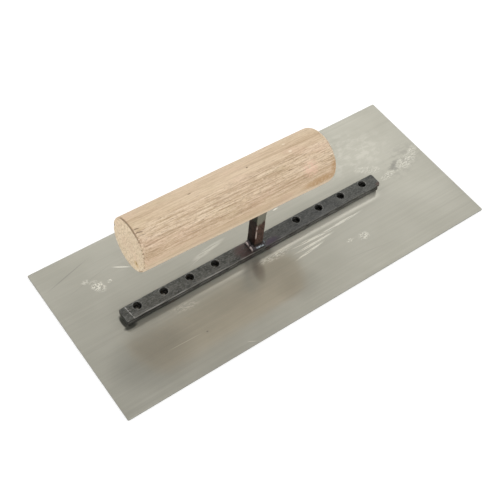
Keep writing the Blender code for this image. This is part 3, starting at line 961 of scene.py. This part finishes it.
def bead_path():
    """Stations round three sides of the post: (x, y), heading in degrees, and leg."""
    sink = 0.2 * MM
    turn = 0.6 * MM
    left, right, front = FOOT_LEFT + sink, FOOT_RIGHT - sink, POST_LOW.y + sink
    back = CHANNEL_HIGH.y - CHANNEL_BEND
    legs = (left - BEAD_LOW.x, front - BEAD_LOW.y, BEAD_HIGH.x - right)
    path = [((left, y), 180.0, legs[0]) for y in spread(back, front + turn, 22)]
    for centre_x, start, first, second in (
        (left + turn, 180.0, legs[0], legs[1]), (right - turn, 270.0, legs[1], legs[2]),
    ):
        corner = arc((centre_x, front + turn), turn, start, start + 90.0, 14)
        for step in range(1, 14):
            leg = first + (second - first) * step / 14
            path.append((corner[step], start + 90.0 * step / 14, leg))
        if start < 270.0:
            path += [((x, front), 270.0, legs[1]) for x in spread(left + turn, right - turn, 24)]
    path += [((right, y), 360.0, legs[2]) for y in spread(front + turn, back, 22)]
    return path


def make_bead(material):
    """Lumpy fillet of weld round the left, front and right of the post's foot."""
    base = CHANNEL_HIGH.z - 0.1 * MM
    rise = BEAD_HIGH.z - base
    rings = []
    for number, ((x, y), heading, leg) in enumerate(bead_path()):
        ripple = 1.0 + 0.07 * math.sin(number * 2 * math.pi / 7.0)
        lump = 0.95 + 0.45 * noise.noise(Vector((x, y, 0.0)) / (2.4 * MM))
        outward = Vector((math.cos(math.radians(heading)), math.sin(math.radians(heading)), 0))
        root = Vector((x, y, base))
        ring = [root]
        for step in range(11):
            around = math.pi / 2 * step / 10
            out = outward * (leg * min(1.0, lump) * math.cos(around) ** 1.1)
            lift = rise * min(1.05, ripple * lump) * math.sin(around) ** 1.1
            ring.append(root + out + Vector((0, 0, lift)))
        rings.append(ring)
    mesh_data = bmesh.new()
    capped_skin(mesh_data, rings)
    return add_piece("weld_fillet", mesh_data, material, 60)


def handle_profile():
    """(distance along the axis, radius) from the left face's middle to the right face's."""
    small, large = HANDLE_ROUND_LEFT, HANDLE_ROUND_RIGHT
    quarter = [math.pi / 2 * step / 6 for step in range(7)]
    face = [(0.0, r) for r in spread(0.4 * MM, HANDLE_RADIUS_LEFT - small - 0.3 * MM, 26)]
    profile = face + [
        (small - small * math.cos(t), HANDLE_RADIUS_LEFT - small + small * math.sin(t))
        for t in quarter
    ]
    first, last = small, AXIS_LENGTH - large
    growth = HANDLE_RADIUS_RIGHT - HANDLE_RADIUS_LEFT
    stations = spread(first + 0.3 * MM, first + 4.0 * MM, 12) + spread(first + 4.5 * MM, last, 190)
    for along in stations[:-1]:
        share = (along - first) / (last - first)
        profile.append((along, HANDLE_RADIUS_LEFT + growth * share))
    profile += [
        (last + large * math.sin(t), HANDLE_RADIUS_RIGHT - large + large * math.cos(t))
        for t in (math.pi / 2 * step / 12 for step in range(13))
    ]
    face = spread(HANDLE_RADIUS_RIGHT - large - 0.8 * MM, 0.4 * MM, 16)
    return profile + [(AXIS_LENGTH, radius) for radius in face]


def handle_point(along, radius, turn):
    """A point of the grip, with the left end's bevel, its gashes, pit and chipped rim."""
    bevel = END_BEVEL * bevel_share(math.remainder(turn, 2 * math.pi))
    if along < bevel:
        radius = min(radius, HANDLE_RADIUS_LEFT - bevel + along)
    degrees = math.degrees(math.remainder(turn, 2 * math.pi))
    if along < 8 * MM and radius > HANDLE_RADIUS_LEFT - 3 * MM:
        for where, length in GASHES:
            radius -= 0.35 * MM * bell(degrees, where, 1.3) * bell(along, 0.0, length * 0.6 * MM)
        radius -= 0.8 * MM * bell(degrees, -90.0, 4.0) * bell(along, 0.0, 1.2 * MM)
    across, lift = radius * math.sin(turn), radius * math.cos(turn)
    if along < 0.01 * MM:
        pit = math.hypot(across + PIT_PLACE[0] * MM, lift - PIT_PLACE[1] * MM)
        along += 1.1 * MM * bell(pit, 0.0, 0.7 * MM)
        along += 0.12 * MM * noise.noise(Vector((across, lift * 0.35, 0.0)) / (1.3 * MM))
    return AXIS_START + AXIS * along - AXIS_SIDE * across + AXIS_UP * lift


def make_handle(material):
    """Turned grip with open grain, a sawn and bevelled left end and the tang's mortise."""
    segments = 320
    turns = [2 * math.pi * step / segments for step in range(segments)]
    rings = [[handle_point(along, radius, t) for t in turns] for along, radius in handle_profile()]
    mesh_data = bmesh.new()
    capped_skin(mesh_data, rings)
    roughen(mesh_data, 0.12 * MM, 28 * MM, 5)
    roughen(mesh_data, 0.09 * MM, 1.2 * MM, 6, (14.0, 1.0, 1.0))
    handle = add_piece("handle_grip", mesh_data, material, 40)
    gap = 0.12 * MM
    low = (FOOT_LEFT - gap, POST_LOW.y - gap)
    high = (FOOT_RIGHT + gap, POST_HIGH.y + gap)
    mortise = rounded_rectangle(low, high, POST_EDGE)
    cutter = bmesh.new()
    capped_skin(cutter, leaning_rings(mortise, (HANDLE_LOW.z - 5 * MM, POST_HIGH.z + gap)))
    subtract(handle, cutter)
    return handle


# --- Studio ---
def make_floor():
    """A plain white floor just under the sole."""
    look = Look("studio_floor")
    material = look.finish(
        Base_Color=(0.80, 0.80, 0.80), Roughness=0.9, Emission_Color=(1.0, 1.0, 1.0),
        Emission_Strength=0.36,
    )
    mesh_data = bmesh.new()
    bmesh.ops.create_grid(mesh_data, x_segments=1, y_segments=1, size=20.0)
    floor = add_piece("studio_floor", mesh_data, material)
    floor.location.z = -0.05 * MM


SKY_STRENGTH = 2.0
SKY_LEVELS = (                    # degrees above the horizon, brightness
    (0, 0.24), (20, 0.36), (32, 0.62), (40, 0.74), (44, 0.66), (47, 0.55), (50, 0.52),
    (55, 0.46), (58, 0.42), (61, 0.39), (65, 0.26), (70, 0.28), (90, 0.60),
)


def make_world():
    """A soft white dome, brighter towards the horizon than overhead."""
    world = bpy.data.worlds.new("studio")
    world.use_nodes = True
    nodes, links = world.node_tree.nodes, world.node_tree.links
    background = nodes["Background"]
    background.inputs["Strength"].default_value = SKY_STRENGTH
    direction = nodes.new("ShaderNodeTexCoord").outputs["Generated"]
    height = nodes.new("ShaderNodeSeparateXYZ")
    ramp = nodes.new("ShaderNodeValToRGB")
    links.new(direction, height.inputs[0])
    links.new(height.outputs["Z"], ramp.inputs["Fac"])
    links.new(ramp.outputs["Color"], background.inputs["Color"])
    ramp.color_ramp.interpolation = "EASE"
    elements = ramp.color_ramp.elements
    for elevation, level in SKY_LEVELS:
        stop = elements.new(math.sin(math.radians(elevation)) * 0.999)
        stop.color = (level, level, level, 1.0)
    elements.remove(elements[-1])
    elements.remove(elements[0])
    bpy.context.scene.world = world


CAMERA_PLACE = (-0.25424, -0.24997, 0.47499)
CAMERA_TARGET = (-0.013397, 0.000522, 0.0)
CAMERA_ROLL = 9.294               # degrees
CAMERA_LENS = 66.784              # millimetres, on a 36 mm sensor


def make_camera():
    """Long lens at the viewing angle of a hand-held product shot, rolled a little."""
    place, target = Vector(CAMERA_PLACE), Vector(CAMERA_TARGET)
    roll = math.radians(CAMERA_ROLL)
    data = bpy.data.cameras.new("camera")
    data.sensor_width = 36.0
    data.lens = CAMERA_LENS
    camera = bpy.data.objects.new("camera", data)
    bpy.context.scene.collection.objects.link(camera)
    forward = (target - place).normalized()
    level = forward.to_track_quat("-Z", "Y").to_matrix()
    right = level.col[0] * math.cos(roll) + level.col[1] * math.sin(roll)
    up = right.cross(forward)
    matrix = level.to_4x4()
    for row in range(3):
        matrix[row][0] = right[row]
        matrix[row][1] = up[row]
        matrix[row][2] = -forward[row]
        matrix[row][3] = place[row]
    camera.matrix_world = matrix
    bpy.context.scene.camera = camera


# --- Assembly ---
def install(piece, slot, *nodes):
    """The piece stands in for those CAD nodes, which it hides, and rides on the root body; slot is not used.
    """
    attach(piece, "root")
    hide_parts(*nodes)


def main():
    bpy.context.scene.view_settings.view_transform = "Standard"
    make_camera()
    make_world()
    make_floor()
    install(make_blade(blade_steel()), "blade_steel", "blade")
    install(make_channel(black_steel()), "blackened_steel", "mounting_channel")
    rivet_finish = rivet_steel()
    for number, centre in enumerate(HOLES, start=1):
        install(make_rivet(number, centre, rivet_finish), "rivet_steel", f"rivet_{number}")
    install(make_post(rusted_steel()), "rusted_steel", "post")
    install(make_bead(weld_metal()), "weld_metal", "weld_bead")
    install(make_handle(raw_hardwood()), "raw_hardwood", "handle")


main()
